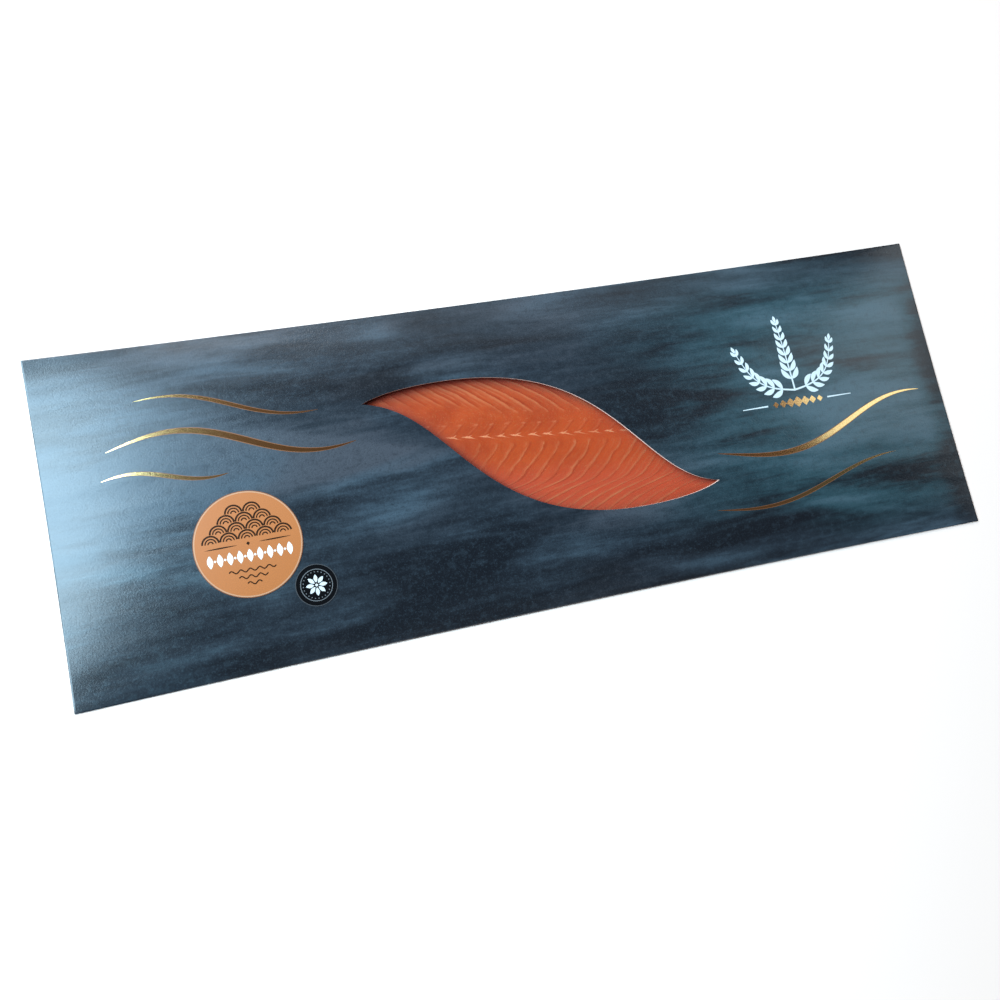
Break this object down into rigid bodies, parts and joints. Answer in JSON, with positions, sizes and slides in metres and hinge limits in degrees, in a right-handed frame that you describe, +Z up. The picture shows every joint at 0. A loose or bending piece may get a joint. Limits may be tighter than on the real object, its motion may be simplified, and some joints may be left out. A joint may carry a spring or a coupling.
{
  "type": "smoked salmon pack",
  "caption": "Long flat card sleeve with a leaf-shaped window that shows a side of smoked salmon, with two round stickers on its crowned front.",
  "frame": {"origin": "middle of the flat back, on the surface that the pack lies on", "axes": "+X along the pack towards the tail of the salmon, +Y across it towards its back edge, +Z up through the front with the window"},
  "size_m": [0.575, 0.2, 0.014],
  "materials": {
    "card": "satin printed card",
    "card_core": "pale cut edge of the card",
    "foil": "hot-pressed gold foil",
    "salmon": "moist cured flesh under clear film",
    "film": "clear vacuum film",
    "sticker_orange": "satin paper",
    "sticker_black": "satin paper"
  },
  "bodies": {
    "root": {"sleeve": "card", "salmon": "salmon", "sticker_round": "sticker_orange", "sticker_small": "sticker_black"}
  },
  "joints": []
}
